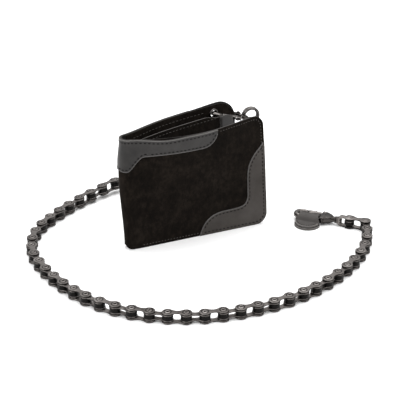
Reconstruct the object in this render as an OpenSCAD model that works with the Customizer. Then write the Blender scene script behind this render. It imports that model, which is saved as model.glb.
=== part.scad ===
// Bifold leather wallet on a roller chain, millimetres, +Z up.
// The wallet stands on its lower edge, a little open, and its chain lies around it on the same surface.
// The origin is the middle of the front leaf's lower edge, and +X runs along the front leaf.

/* [Wallet] */
// Length of each leaf, from the fold axis to its outer edge
leaf_len = 111; // [105:1:115]
// Height of the wallet
wallet_h = 89; // [86:1:94]
// Outside radius of the fold, which is half of the closed thickness
fold_r = 8.2; // [8:0.1:8.4]
// Angle between the two leaves as it stands
open_angle = 15; // [12:1:16]
// Radius of the leaves' outer corners
corner_r = 9; // [8:1:10]
// Radius of the back leaf's top corner
back_corner_r = 18; // [16:1:19]
// Thickness of the suede
suede_t = 1.2; // [1:0.1:1.3]
// Thickness of the smooth leather bands and patches on the suede
band_t = 0.7; // [0.5:0.1:0.9]
// Height of the inner panels
panel_h = 83; // [78:1:84]

/* [Chain] */
// Distance from pin to pin
pitch = 12.7; // [12.7:0.1:12.8]
// Height of the link plates
plate_w = 8.3; // [7.6:0.1:8.4]
// Thickness of each link plate
plate_t = 0.95; // [0.8:0.05:1]
// Clear width between the inner plates
inner_w = 3.2; // [3:0.1:3.3]
// Side play between an inner and an outer plate
side_play = 0.45; // [0.44:0.01:0.46]
// Radius of the pins
pin_r = 1.75; // [1.6:0.05:1.8]
// Radius of the bushes' holes
bush_r = 2; // [1.95:0.01:2.05]

/* [Fittings] */
// Wire radius of the split ring
ring_wire_r = 1.15; // [1:0.05:1.2]
// Radius of the split ring, to the middle of its wire
ring_r = 6.1; // [6:0.1:6.2]
// Length of a chain shackle, from its pin to the outside of its bridge
shackle_len = 22.5; // [22:0.5:23]
// Wire radius of the wallet clasp's hook
wallet_wire_r = 1.45; // [1.3:0.05:1.5]
// Wire radius of the belt clasp's hook
belt_wire_r = 2; // [1.8:0.1:2]
// Radius of the round leather fob
fob_r = 10; // [8:0.5:10.5]

/* [Hidden] */
POCKETS = 2;
PAIRS = 26;
CHAIN = [for (k = [1 : PAIRS + 1]) str("chain_link_", k < 10 ? "0" : "", k)];

ROUND = 64;
SMALL = 32;
CLEAR = 0.1;

SUEDE = [0.11, 0.09, 0.08];
SMOOTH = [0.27, 0.27, 0.28];
LINING = [0.08, 0.08, 0.08];
DARK_METAL = [0.3, 0.28, 0.27];
GUNMETAL = [0.42, 0.41, 0.4];

// The leaf frame: X from the fold axis to the outer edge, Z up, Y outwards from the fold's middle plane.
fold_x = -leaf_len / 2;
fold_y = fold_r - suede_t / 2;

// Layers of a leaf, each given by its inside distance from the middle plane
suede_y = fold_r - suede_t;
lining_t = 0.45;
lining_y = suede_y - lining_t - CLEAR / 2;
panel_t = 0.7;
panel_y = 1.4;
pocket_t = 0.5;
pocket_y = [0.75, 0.15];
pocket_h = [70, 56];
pocket_x = [16, 18];
seam_in = 1.5;
panel_in = 7;
strip_w = 13;
strip_t = 0.5;

// The fold: the back leaf's arc laps over the outside of the front leaf's smaller arc
lap_angle = 190;
front_arc_r = suede_y - 0.2;
front_arc_t = 1.1;

// Eyelet in the back leaf
eyelet_x = 89;
eyelet_z = 81.3;
eyelet_hole_r = 2.3;
eyelet_rim_r = 4;
eyelet_rim_t = 0.6;
eyelet_y = fold_r - suede_t / 2 - 0.2;

// Widths across the chain
plate_y_in = inner_w / 2;
plate_y_out = plate_y_in + plate_t + side_play;
chain_half = plate_y_out + plate_t;
pin_head = 0.3;
roller_r = 3.85;
waist_r = 6;
waist_half = 2.3;
chain_z = chain_half + pin_head;

// The chain's lie, from the belt end to the wallet end. Each row is a number of pitches, then the turn
// about the pin, the twist and the side bend that each of those pitches adds, in degrees.
BELT_END = [174.5 + fold_x, -52 + fold_y, chain_z];
BELT_HEADING = -108.5;
ROUTE = [
    [5, -6.5, 0, 0],
    [5, -4.5, 0, 0],
    [6, -5, 0, 0],
    [8, -7, 0, 0],
    [5, -4.5, 0, 0],
    [5, -9.5, 0, 0],
    [6, -4, -1.5, -0.5],
    [4, -4.5, -4, 3],
    [3, -1, -5, 2.5],
    [3, -23.5, -5, 2],
    [3, -21.5, 5, -2.5]];
STEPS = [for (row = ROUTE) for (i = [1 : row[0]]) [row[1], row[2], row[3]]];
PITCHES = len(STEPS);
WALLET_SHACKLE_TURN = 45.5;
BELT_SHACKLE_HEADING = 133;

// 4 by 4 matrices for the chain's frames
function mat_x(a) = [[1, 0, 0, 0], [0, cos(a), -sin(a), 0], [0, sin(a), cos(a), 0], [0, 0, 0, 1]];
function mat_y(a) = [[cos(a), 0, sin(a), 0], [0, 1, 0, 0], [-sin(a), 0, cos(a), 0], [0, 0, 0, 1]];
function mat_z(a) = [[cos(a), -sin(a), 0, 0], [sin(a), cos(a), 0, 0], [0, 0, 1, 0], [0, 0, 0, 1]];
function mat_move(v) = [[1, 0, 0, v[0]], [0, 1, 0, v[1]], [0, 0, 1, v[2]], [0, 0, 0, 1]];
function origin_of(m) = [m[0][3], m[1][3], m[2][3]];
function x_of(m) = [m[0][0], m[1][0], m[2][0]];

// link_frame(i) has its origin at the link's pin nearer the belt end, X along the link and Z along the pins
function turned(m, step) = m * mat_x(step[1]) * mat_y(step[2]) * mat_z(step[0]);
function link_frames(m, i) =
    i == PITCHES ? [] :
    let (f = turned(m, STEPS[i])) concat([f], link_frames(f * mat_move([pitch, 0, 0]), i + 1));
LINKS = link_frames(mat_move(BELT_END) * mat_z(BELT_HEADING), 0);
wallet_shackle_frame = LINKS[PITCHES - 1] * mat_move([pitch, 0, 0]) * mat_z(WALLET_SHACKLE_TURN);
belt_shackle_frame = mat_move(BELT_END) * mat_z(BELT_SHACKLE_HEADING);

// A clasp: its origin is in the hook's crown and X runs to the swivel
body_t = 4.6;
rivet_r = 0.7;
gate_eye_r = 1.5;
gate_t = 1.8;
stem_r = 1.3;
stem_head_r = 2.3;
stem_head_t = 1.5;
stem_depth = 3.6;
tip_len = 2.6;
slot_t = 3.2;
gate_z = -1.3;
spring_wire_r = 0.27;
loop_r = 4.1;
loop_hole_r = 3.2;
loop_back = 0.6;
loop_t = 1.8;
bridge_t = 2;
arm_w = 4.2;
spacer_r = 2.4;
// [crown radius, wire radius, distance from crown to body, body length, length to the end of the neck]
WALLET_CLASP = [3.6, wallet_wire_r, 24.6, 3.2, 28.7];
BELT_CLASP = [4.5, belt_wire_r, 20, 9, 32.6];

// The split ring is upright and passes under the wallet shackle's bridge, square to it
ring_gap = 2;
ring_turn = -4;
ring_along = [cos(ring_turn), sin(ring_turn), 0];
ring_seat = origin_of(wallet_shackle_frame * mat_move([shackle_len - bridge_t - ring_wire_r - ring_gap, 0, 0]));
shackle_x = x_of(wallet_shackle_frame);
ring_lean = (shackle_x * ring_along) * ring_along + [0, 0, shackle_x[2]];
ring_centre = ring_seat + ring_r * ring_lean / norm(ring_lean);
ring_hold = ring_centre - ring_r * ring_along;

// The wallet clasp runs from the eyelet to the ring
eyelet_centre = [
    fold_x + eyelet_x * cos(open_angle) - eyelet_y * sin(open_angle),
    fold_y + eyelet_x * sin(open_angle) + eyelet_y * cos(open_angle),
    eyelet_z];
clasp_run = ring_hold - eyelet_centre;
clasp_heading = atan2(clasp_run[1], clasp_run[0]);
clasp_dip = atan2(-clasp_run[2], norm([clasp_run[0], clasp_run[1]]));
clasp_reach = norm(clasp_run);
wallet_clasp_frame = mat_move(eyelet_centre) * mat_z(clasp_heading) * mat_y(clasp_dip);
belt_clasp_frame =
    belt_shackle_frame * mat_move([shackle_len + 0.4 + BELT_CLASP[4], 0, 0]) * mat_z(180);

// Leaf helpers
module back_leaf() {
    translate([fold_x, fold_y, 0]) rotate([0, 0, open_angle]) children();
}

module front_leaf() {
    translate([fold_x, fold_y, 0]) mirror([0, 1, 0]) children();
}

// Turns an outline drawn in X and Z into a sheet whose inside face is at Y = y_in
module sheet(y_in, thick) {
    translate([0, y_in + thick, 0]) rotate([90, 0, 0]) linear_extrude(thick) children();
}

// A rectangle whose corners at the outer end are round, the top one with its own radius
module leaf_outline(x0, x1, z0, z1, r, top_r) {
    difference() {
        translate([x0, z0]) square([x1 - x0, z1 - z0]);
        difference() {
            translate([x1 - r, z0 - 1]) square(r + 1);
            translate([x1 - r, z0 + r]) circle(r, $fn = ROUND);
        }
        difference() {
            translate([x1 - top_r, z1 - top_r]) square(top_r + 1);
            translate([x1 - top_r, z1 - top_r]) circle(top_r, $fn = ROUND);
        }
    }
}

// An upright arc about the fold axis, from one angle to another
module fold_arc(r_out, thick, from, to, z0, z1) {
    rotate([0, 0, from]) rotate_extrude(angle = to - from, $fn = ROUND)
        translate([r_out - thick, z0]) square([thick, z1 - z0]);
}

module eyelet_hole(r) {
    translate([eyelet_x, 0, eyelet_z]) rotate([-90, 0, 0]) cylinder(r = r, h = 2 * fold_r, $fn = ROUND);
}

// Wallet shell
module suede_back() {
    color(SUEDE) back_leaf() difference() {
        union() {
            sheet(suede_y, suede_t) leaf_outline(0, leaf_len, 0, wallet_h, corner_r, back_corner_r);
            fold_arc(fold_r, suede_t, 90, lap_angle - open_angle, 0, wallet_h);
        }
        eyelet_hole(eyelet_hole_r + 0.4);
    }
}

module suede_front() {
    color(SUEDE) front_leaf() {
        sheet(suede_y, suede_t) leaf_outline(0, leaf_len, 0, wallet_h, corner_r, corner_r);
        fold_arc(front_arc_r, front_arc_t, 90, 360 - lap_angle, 0, wallet_h);
        translate([0, front_arc_r - front_arc_t, 0]) cube([1.5, fold_r - front_arc_r + front_arc_t, wallet_h]);
    }
}

// The band along the top edge, with a tongue down the fold and a round end
band_drop = 17;
band_end = 70;
band_r = 13;
module band_outline() {
    difference() {
        translate([0, wallet_h - band_drop]) square([band_end, band_drop - 0.3]);
        translate([band_end - band_r, wallet_h - band_drop]) difference() {
            translate([0, -1]) square([band_r + 1, band_r + 1]);
            translate([0, band_r]) circle(band_r, $fn = ROUND);
        }
    }
}

tongue_drop = 25;
module top_band_back() {
    color(SMOOTH) back_leaf() {
        sheet(fold_r + 0.02, band_t) band_outline();
        fold_arc(fold_r + 0.02 + band_t, band_t, 90, lap_angle - open_angle,
            wallet_h - tongue_drop, wallet_h - 0.3);
    }
}

module top_band_front() {
    color(SMOOTH) front_leaf() sheet(fold_r + 0.02, band_t) band_outline();
}

// The patch round the lower outer corner: two arms with round shoulders, and a round inner corner
patch_side = 16;
patch_foot = 17.5;
foot_r = 18.8;
side_r = 28.7;
side_z = 41;
patch_in = 7;
module patch_outline() {
    side_x = leaf_len - patch_side;
    foot_x = side_x - 2.7 - foot_r;
    intersection() {
        leaf_outline(0, leaf_len - 0.3, 0.3, wallet_h, corner_r, corner_r);
        difference() {
            union() {
                translate([foot_x, 0]) square([leaf_len, patch_foot]);
                translate([foot_x, patch_foot - foot_r]) circle(foot_r, $fn = ROUND);
                translate([side_x, 0]) square([patch_side, side_z]);
                translate([side_x + side_r, side_z]) circle(side_r, $fn = ROUND);
                translate([side_x - patch_in, patch_foot]) square(patch_in);
            }
            translate([side_x - patch_in, patch_foot + patch_in]) circle(patch_in, $fn = SMALL);
        }
    }
}

module corner_patch_back() {
    color(SMOOTH) back_leaf() sheet(fold_r + 0.02, band_t) patch_outline();
}

module corner_patch_front() {
    color(SMOOTH) front_leaf() sheet(fold_r + 0.02, band_t) patch_outline();
}

// Inside of the wallet: linings, inner panels, card pockets and edge strips
module lining(hole, top_r) {
    color(LINING) difference() {
        sheet(lining_y, lining_t)
            leaf_outline(3.5, leaf_len - seam_in, seam_in, wallet_h - 1, corner_r - seam_in, top_r - 1);
        if (hole) eyelet_hole(eyelet_hole_r + 0.4);
    }
}

module lining_back() {
    back_leaf() lining(true, back_corner_r);
}

module lining_front() {
    front_leaf() lining(false, corner_r);
}

module inner_panel() {
    color(SUEDE) sheet(panel_y, panel_t)
        leaf_outline(4, leaf_len - panel_in, seam_in, panel_h, corner_r - seam_in, corner_r - seam_in);
}

module inner_panel_back() {
    back_leaf() inner_panel();
}

module inner_panel_front() {
    front_leaf() inner_panel();
}

module card_pocket(k) {
    x1 = leaf_len - panel_in - strip_w - 0.5;
    color(SUEDE) sheet(pocket_y[k - 1], pocket_t) translate([pocket_x[k - 1], 3])
        square([x1 - pocket_x[k - 1], pocket_h[k - 1] - 3]);
}

module edge_strip() {
    x1 = leaf_len - panel_in;
    color(SMOOTH) sheet(pocket_y[0], strip_t) intersection() {
        leaf_outline(4, x1, seam_in, panel_h, corner_r - seam_in, corner_r - seam_in);
        translate([x1 - strip_w, 0]) square([strip_w, wallet_h]);
    }
}

module edge_strip_back() {
    back_leaf() edge_strip();
}

module edge_strip_front() {
    front_leaf() edge_strip();
}

// Eyelet: a flanged tube through the back leaf, set over a washer inside
module eyelet() {
    wall = 0.3;
    color(GUNMETAL) back_leaf() difference() {
        union() {
            translate([eyelet_x, fold_r + 0.02, eyelet_z]) rotate([-90, 0, 0])
                cylinder(r = eyelet_rim_r, h = eyelet_rim_t, $fn = ROUND);
            translate([eyelet_x, lining_y - 0.3, eyelet_z]) rotate([-90, 0, 0])
                cylinder(r = eyelet_hole_r + wall, h = fold_r - lining_y + 0.6, $fn = ROUND);
        }
        eyelet_hole(eyelet_hole_r);
    }
}

module eyelet_washer() {
    color(GUNMETAL) back_leaf() translate([eyelet_x, lining_y - 0.35, eyelet_z]) rotate([-90, 0, 0]) difference() {
        cylinder(r = eyelet_rim_r, h = 0.33, $fn = ROUND);
        translate([0, 0, -1]) cylinder(r = eyelet_hole_r + 0.34, h = 2, $fn = ROUND);
    }
}

// Clasp parts, all in the clasp's frame. side is 1 with the gate at -Y and -1 with the gate at +Y.
function gate_x(c) = c[2] + gate_eye_r + 0.3;

module gate_axis(c, side, z) {
    translate([gate_x(c), -side * c[0], z]) children();
}

module clasp_hook(c, side) {
    crown = c[0];
    wire = c[1];
    body_x = c[2];
    half = crown + wire;
    body_end = body_x + c[3];
    color(GUNMETAL) difference() {
        union() {
            translate([crown, 0, 0]) rotate([0, 0, 90]) rotate_extrude(angle = 180, $fn = ROUND)
                translate([crown, 0]) circle(wire, $fn = SMALL);
            translate([crown, side * crown, 0]) rotate([0, 90, 0])
                cylinder(r = wire, h = body_x - crown + 1, $fn = SMALL);
            translate([crown, -side * crown, 0]) rotate([0, 90, 0]) cylinder(r = wire, h = tip_len, $fn = SMALL);
            translate([body_x, -half, -body_t / 2]) cube([c[3], 2 * half, body_t]);
            translate([body_end - 1, 0, 0]) rotate([0, 90, 0])
                cylinder(r = body_t / 2, h = c[4] - body_end + 1, $fn = ROUND);
        }
        // the slot for the gate's eye, the rivet's hole and the stem's bore
        translate([body_x - 1, side > 0 ? -half - 1 : crown - gate_eye_r - 0.4, -slot_t / 2])
            cube([1.6 + 2 * gate_eye_r, half - crown + 1.4 + gate_eye_r, slot_t]);
        gate_axis(c, side, -body_t) cylinder(r = rivet_r, h = 2 * body_t, $fn = SMALL);
        translate([c[4] - stem_depth, 0, 0]) rotate([0, 90, 0])
            cylinder(r = stem_r + CLEAR, h = 2 * stem_depth, $fn = SMALL);
    }
}

module clasp_gate(c, side) {
    tip_x = c[0] + tip_len + 0.25;
    color(GUNMETAL) difference() {
        union() {
            gate_axis(c, side, gate_z) cylinder(r = gate_eye_r, h = gate_t, $fn = SMALL);
            translate([tip_x + 1, -side * c[0] - gate_t / 2, gate_z]) cube([gate_x(c) - tip_x - 1, gate_t, gate_t]);
            translate([tip_x, -side * c[0], 0]) rotate([0, 90, 0])
                cylinder(r = c[1], h = c[2] - 0.5 - tip_x, $fn = SMALL);
        }
        gate_axis(c, side, -body_t) cylinder(r = rivet_r + 0.06, h = 2 * body_t, $fn = SMALL);
    }
}

module clasp_rivet(c, side) {
    color(DARK_METAL) gate_axis(c, side, -body_t / 2 - 0.2) cylinder(r = rivet_r, h = body_t + 0.4, $fn = SMALL);
}

// A coil round the rivet, with one leg lying on the back of the slot
module clasp_spring(c, side) {
    coil_r = rivet_r + 0.45;
    coil_z = gate_z + gate_t + 2 * spring_wire_r;
    color(DARK_METAL) gate_axis(c, side, coil_z) {
        rotate_extrude($fn = SMALL) translate([coil_r, 0]) circle(spring_wire_r, $fn = 16);
        translate([coil_r, 0, 0]) rotate([side * 90, 0, 0]) cylinder(r = spring_wire_r, h = 1.5, $fn = 16);
    }
}

module wallet_clasp() {
    multmatrix(wallet_clasp_frame) children();
}

module belt_clasp() {
    multmatrix(belt_clasp_frame) children();
}

module wallet_clasp_hook() {
    wallet_clasp() clasp_hook(WALLET_CLASP, 1);
}

module wallet_clasp_gate() {
    wallet_clasp() clasp_gate(WALLET_CLASP, 1);
}

module wallet_clasp_rivet() {
    wallet_clasp() clasp_rivet(WALLET_CLASP, 1);
}

module wallet_clasp_spring() {
    wallet_clasp() clasp_spring(WALLET_CLASP, 1);
}

// A stem that turns in the clasp's neck and carries a round loop for the ring
module wallet_clasp_swivel() {
    stem_x = WALLET_CLASP[4] - stem_depth + 0.3;
    loop_at = clasp_reach - loop_back;
    color(GUNMETAL) wallet_clasp() difference() {
        union() {
            translate([stem_x, 0, 0]) rotate([0, 90, 0])
                cylinder(r = stem_r, h = loop_at - loop_hole_r - 0.3 - stem_x, $fn = SMALL);
            translate([loop_at, 0, -loop_t / 2]) cylinder(r = loop_r, h = loop_t, $fn = ROUND);
        }
        translate([loop_at, 0, -loop_t]) cylinder(r = loop_hole_r, h = 2 * loop_t, $fn = ROUND);
    }
}

module belt_clasp_hook() {
    belt_clasp() clasp_hook(BELT_CLASP, -1);
}

module belt_clasp_gate() {
    belt_clasp() clasp_gate(BELT_CLASP, -1);
}

module belt_clasp_rivet() {
    belt_clasp() clasp_rivet(BELT_CLASP, -1);
}

module belt_clasp_spring() {
    belt_clasp() clasp_spring(BELT_CLASP, -1);
}

// A headed stem, held in the clasp's neck and turning in the shackle's bridge
module belt_clasp_swivel() {
    head_x = shackle_len - bridge_t - 0.15;
    color(GUNMETAL) multmatrix(belt_shackle_frame) translate([head_x, 0, 0]) rotate([0, 90, 0]) {
        translate([0, 0, -stem_head_t]) cylinder(r = stem_head_r, h = stem_head_t, $fn = SMALL);
        cylinder(r = stem_r, h = bridge_t + 0.15 + 0.4 + stem_depth - 0.3, $fn = SMALL);
    }
}

// Split ring: two turns of wire side by side
module split_ring() {
    color(DARK_METAL) translate(ring_centre) rotate([0, 0, ring_turn]) rotate([90, 0, 0])
        for (side = [-1, 1]) translate([0, 0, side * (ring_wire_r - 0.02)])
            rotate_extrude($fn = ROUND) translate([ring_r, 0]) circle(ring_wire_r, $fn = SMALL);
}

// Chain shackle: two arms riveted to the last link, held apart by a second pin and joined by a bridge
module shackle(stem_hole) {
    color(DARK_METAL) difference() {
        union() {
            for (z = [-chain_half, plate_y_out]) translate([0, 0, z]) {
                link_plate();
                translate([pitch, -arm_w / 2, 0]) cube([shackle_len - pitch - 1, arm_w, plate_t]);
            }
            for (x = [0, pitch]) translate([x, 0, -chain_z]) cylinder(r = pin_r, h = 2 * chain_z, $fn = SMALL);
            translate([pitch, 0, -chain_half]) cylinder(r = spacer_r, h = 2 * chain_half, $fn = SMALL);
            translate([shackle_len - bridge_t, -arm_w / 2, -chain_half]) cube([bridge_t, arm_w, 2 * chain_half]);
        }
        if (stem_hole) translate([shackle_len / 2, 0, 0]) rotate([0, 90, 0])
            cylinder(r = stem_r + CLEAR, h = shackle_len, $fn = SMALL);
    }
}

module wallet_shackle() {
    multmatrix(wallet_shackle_frame) shackle(false);
}

module belt_shackle() {
    multmatrix(belt_shackle_frame) shackle(true);
}

// A link plate: two round ends and a waist
module link_plate() {
    r = plate_w / 2;
    linear_extrude(plate_t) union() {
        for (x = [0, pitch]) translate([x, 0]) circle(r, $fn = ROUND);
        difference() {
            translate([0, -r]) square([pitch, 2 * r]);
            for (side = [-1, 1]) translate([pitch / 2, side * (waist_half + waist_r)])
                circle(waist_r, $fn = ROUND);
        }
    }
}

module inner_link() {
    color(DARK_METAL) difference() {
        union() {
            for (z = [-plate_y_in - plate_t, plate_y_in]) translate([0, 0, z]) link_plate();
            for (x = [0, pitch]) translate([x, 0, -plate_y_in - 0.1])
                cylinder(r = roller_r, h = inner_w + 0.2, $fn = ROUND);
        }
        for (x = [0, pitch]) translate([x, 0, -chain_z]) cylinder(r = bush_r, h = 2 * chain_z, $fn = SMALL);
    }
}

module outer_link() {
    color(DARK_METAL) {
        for (z = [-chain_half, plate_y_out]) translate([0, 0, z]) link_plate();
        for (x = [0, pitch]) translate([x, 0, -chain_z]) cylinder(r = pin_r, h = 2 * chain_z, $fn = SMALL);
    }
}

// One body of the chain, counted from the wallet: an inner link, and the outer link beyond it
module chain_link(k) {
    inner = PITCHES + 1 - 2 * k;
    multmatrix(LINKS[inner]) inner_link();
    if (inner > 0) multmatrix(LINKS[inner - 1]) outer_link();
}

// Leather fob: a strap folded over the hook's bar, ending in a round tab of two layers
module leather_fob() {
    bar_y = -BELT_CLASP[0];
    clear_r = BELT_CLASP[1] + 0.3;
    wrap_r = 3.4;
    wrap_x = 4;
    wrap_w = 15.6;
    reach = 4.5;
    layer_t = 1.6;
    color(SMOOTH) belt_clasp() difference() {
        union() {
            translate([wrap_x, bar_y, 0]) rotate([0, 90, 0]) cylinder(r = wrap_r, h = wrap_w, $fn = ROUND);
            translate([wrap_x + wrap_w / 2, bar_y - reach, 0.1 - chain_z]) difference() {
                cylinder(r = fob_r, h = 2 * layer_t, $fn = ROUND);
                translate([-20, reach, -1]) cube(40);
            }
        }
        translate([-20, bar_y, 0]) rotate([0, 90, 0]) cylinder(r = clear_r, h = 60, $fn = ROUND);
        // beside the fold, the tab stays clear of the hook as it swings
        for (x = [-20, wrap_x + wrap_w + 0.1]) translate([x, bar_y - clear_r - 0.8, -chain_z])
            cube([wrap_x + 19.9, 40, 40]);
    }
}

suede_back();
suede_front();
top_band_back();
top_band_front();
corner_patch_back();
corner_patch_front();
lining_back();
lining_front();
inner_panel_back();
inner_panel_front();
for (k = [1 : POCKETS]) back_leaf() card_pocket(k);
for (k = [1 : POCKETS]) front_leaf() card_pocket(k);
edge_strip_back();
edge_strip_front();
eyelet();
eyelet_washer();
wallet_clasp_hook();
wallet_clasp_gate();
wallet_clasp_rivet();
wallet_clasp_spring();
wallet_clasp_swivel();
split_ring();
wallet_shackle();
for (k = [1 : PAIRS + 1]) chain_link(k);
belt_shackle();
belt_clasp_swivel();
belt_clasp_hook();
belt_clasp_gate();
belt_clasp_rivet();
belt_clasp_spring();
leather_fob();
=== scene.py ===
"""Chain wallet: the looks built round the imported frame. Shapes are made in millimetres, stored in metres."""

from math import atan2, copysign, cos, degrees, exp, hypot, pi, radians, sin, sqrt

import bmesh
import bpy
import numpy as np
from mathutils import Matrix, Vector


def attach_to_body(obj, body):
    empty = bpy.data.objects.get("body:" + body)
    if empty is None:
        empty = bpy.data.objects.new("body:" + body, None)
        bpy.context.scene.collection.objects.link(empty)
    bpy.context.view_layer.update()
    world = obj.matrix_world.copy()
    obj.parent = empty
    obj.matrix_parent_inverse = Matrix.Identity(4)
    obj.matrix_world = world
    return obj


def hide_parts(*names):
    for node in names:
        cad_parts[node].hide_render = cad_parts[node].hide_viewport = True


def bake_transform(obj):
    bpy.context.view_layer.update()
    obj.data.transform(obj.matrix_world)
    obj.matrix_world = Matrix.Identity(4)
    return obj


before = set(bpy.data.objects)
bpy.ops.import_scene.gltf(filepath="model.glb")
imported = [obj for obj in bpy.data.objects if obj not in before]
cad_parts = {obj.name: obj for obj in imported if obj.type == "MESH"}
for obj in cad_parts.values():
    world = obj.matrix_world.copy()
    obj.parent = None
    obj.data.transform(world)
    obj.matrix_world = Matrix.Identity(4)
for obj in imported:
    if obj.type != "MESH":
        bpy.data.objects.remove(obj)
scene = bpy.context.scene
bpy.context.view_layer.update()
MM = 0.001
TAU = 2 * pi

# ---- sizes, as in the part ----
LEAF, HIGH, R_OUT, OPEN = 111.0, 89.0, 8.2, radians(15)
FX, FY = -55.5, 7.6
SUEDE_T, BAND_T, LINING_T = 1.2, 0.7, 0.45
PITCH, PLATE_R, PLATE_T = 12.7, 4.15, 0.95
PLATE_IN, PLATE_OUT = 1.6, 3.0
CHAIN_HALF, CHAIN_Z = 3.95, 4.25
PIN_R, BUSH_R, ROLLER_R = 1.75, 2.0, 3.85
BAR_Y = 4.5  # the belt hook's bar, from the clasp's middle
SHACKLE, BRIDGE_T, RING_GAP = 22.5, 2.0, 2.0
RING_R, RING_WIRE = 6.1, 1.15
RING_TURN = radians(-4)
WALLET_NECK, BELT_NECK = 28.7, 32.6
EYELET_X, EYELET_Z, EYELET_BORE = 89, 81.3, 3.15
CORNER_LOW, CORNER_HIGH = 9, {"front": 8, "back": 18}
SIGN = {"front": 1, "back": -1}

# ---- sizes of the sewing ----
LIFT = 0.03  # a sewn piece starts this far off the suede
RIM_R = 0.34
# length, pitch and radius of a stitch
HEAVY, FINE, INSIDE = (2.2, 3.1, 0.38), (1.5, 2.5, 0.24), (1.9, 3.4, 0.22)


# ---- materials ----
class Nodes:
    """Adds nodes to a node tree."""

    def __init__(self, tree):
        self.nodes, self.links = tree.nodes, tree.links

    def feed(self, node, **inputs):
        """Links the sockets among the inputs and sets the values."""
        for key, value in inputs.items():
            socket = node.inputs[key.replace("_", " ")]
            if isinstance(value, bpy.types.NodeSocket):
                self.links.new(value, socket)
            else:
                socket.default_value = value
        return node

    def node(self, kind, **inputs):
        return self.feed(self.nodes.new("ShaderNode" + kind), **inputs)


class Surface(Nodes):
    """A material whose colour, roughness and bump come from nodes in the object's coordinates."""

    def __init__(self, name):
        self.material = bpy.data.materials.new(name)
        self.material.use_nodes = True
        super().__init__(self.material.node_tree)
        self.coord = self.node("TexCoord").outputs["Object"]

    def look(self, **inputs):
        self.feed(self.nodes["Principled BSDF"], **inputs)

    def noise(self, scale, detail=4.0, rough=0.55, stretch=None):
        vector = self.coord
        if stretch:
            vector = self.node("Mapping", Vector=vector, Scale=stretch).outputs["Vector"]
        texture = self.node("TexNoise", Vector=vector, Scale=scale, Detail=detail, Roughness=rough)
        return texture.outputs["Fac"]

    def ramp(self, value, *stops):
        r = self.node("ValToRGB", Fac=value)
        elements = r.color_ramp.elements
        while len(elements) < len(stops):
            elements.new(0.5)
        for e, (pos, colour) in zip(elements, stops):
            e.position = pos
            e.color = (*colour, 1)
        return r.outputs["Color"]

    def spread(self, value, low, high):
        """A noise value's usual stretch, mapped to low and high."""
        return self.node("MapRange", Value=value, From_Min=0.3, From_Max=0.7, To_Min=low,
                         To_Max=high).outputs["Result"]

    def weighted(self, *parts):
        """The sum of some values, each times its weight."""
        total = 0
        for value, weight in parts:
            n = self.node("Math")
            n.operation = "MULTIPLY_ADD"
            self.links.new(value, n.inputs[0])
            n.inputs[1].default_value = weight
            if total:
                self.links.new(total, n.inputs[2])
            else:
                n.inputs[2].default_value = 0
            total = n.outputs[0]
        return total

    def bump(self, *heights):
        """heights: (value, strength, distance in mm), each laid over the one before."""
        last = None
        for value, strength, distance in heights:
            b = self.node("Bump", Strength=strength, Distance=distance * MM, Height=value)
            if last is not None:
                self.links.new(last, b.inputs["Normal"])
            last = b.outputs["Normal"]
        self.look(Normal=last)


def suede_material():
    m = Surface("suede")
    patches = m.noise(55, 4, 0.65)
    strokes = m.noise(330, 5, 0.7, (1.0, 1.0, 0.7))
    nap = m.noise(1500, 3, 0.7)
    mix = m.weighted((nap, 0.18), (strokes, 0.42), (patches, 0.40))
    m.look(Base_Color=m.ramp(mix, (0.40, (0.0012, 0.0008, 0.0005)), (0.50, (0.0043, 0.0031, 0.0022)),
                             (0.60, (0.0110, 0.0082, 0.0062))),
           Roughness=0.95, Specular_IOR_Level=0.06, Sheen_Weight=0.03, Sheen_Roughness=0.6,
           Sheen_Tint=(0.6, 0.5, 0.44, 1))
    m.bump((strokes, 0.35, 0.5), (nap, 0.7, 0.25))
    return m.material


def leather_material(name, dark, light, rough, grain=900, spec=0.45):
    m = Surface(name)
    m.look(Base_Color=m.ramp(m.noise(42, 4, 0.6), (0.34, dark), (0.66, light)),
           Roughness=m.spread(m.noise(140, 4), rough - 0.06, rough + 0.08), Specular_IOR_Level=spec)
    cells = m.node("TexVoronoi", Vector=m.coord, Scale=grain)
    cells.feature = "DISTANCE_TO_EDGE"
    m.bump((m.noise(120, 3), 0.12, 0.5), (cells.outputs["Distance"], 0.35, 0.12),
           (m.noise(grain * 2.2, 3), 0.25, 0.06))
    return m.material


def cut_edge_material(name, base):
    m = Surface(name)
    fibres = m.noise(900, 4, 0.7)
    low = tuple(c * 0.55 for c in base)
    m.look(Base_Color=m.ramp(fibres, (0.3, low), (0.7, base)), Roughness=0.8)
    m.bump((fibres, 0.5, 0.15))
    return m.material


def thread_material(name, colour):
    m = Surface(name)
    twist = m.noise(2600, 2)
    low = tuple(c * 0.6 for c in colour)
    m.look(Base_Color=m.ramp(twist, (0.35, low), (0.65, colour)), Roughness=0.6, Specular_IOR_Level=0.1)
    m.bump((twist, 0.5, 0.1))
    return m.material


def lining_material():
    m = Surface("lining_cloth")
    wave = m.node("TexWave", Vector=m.coord, Scale=520, Distortion=1.5)
    wave.bands_direction = "DIAGONAL"
    colour = m.ramp(m.noise(70, 4), (0.3, (0.0045, 0.004, 0.0038)), (0.7, (0.0095, 0.0088, 0.0083)))
    m.look(Base_Color=colour, Roughness=0.8, Specular_IOR_Level=0.3)
    m.bump((wave.outputs["Fac"], 0.25, 0.12), (m.noise(900, 3), 0.3, 0.1))
    return m.material


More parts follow.
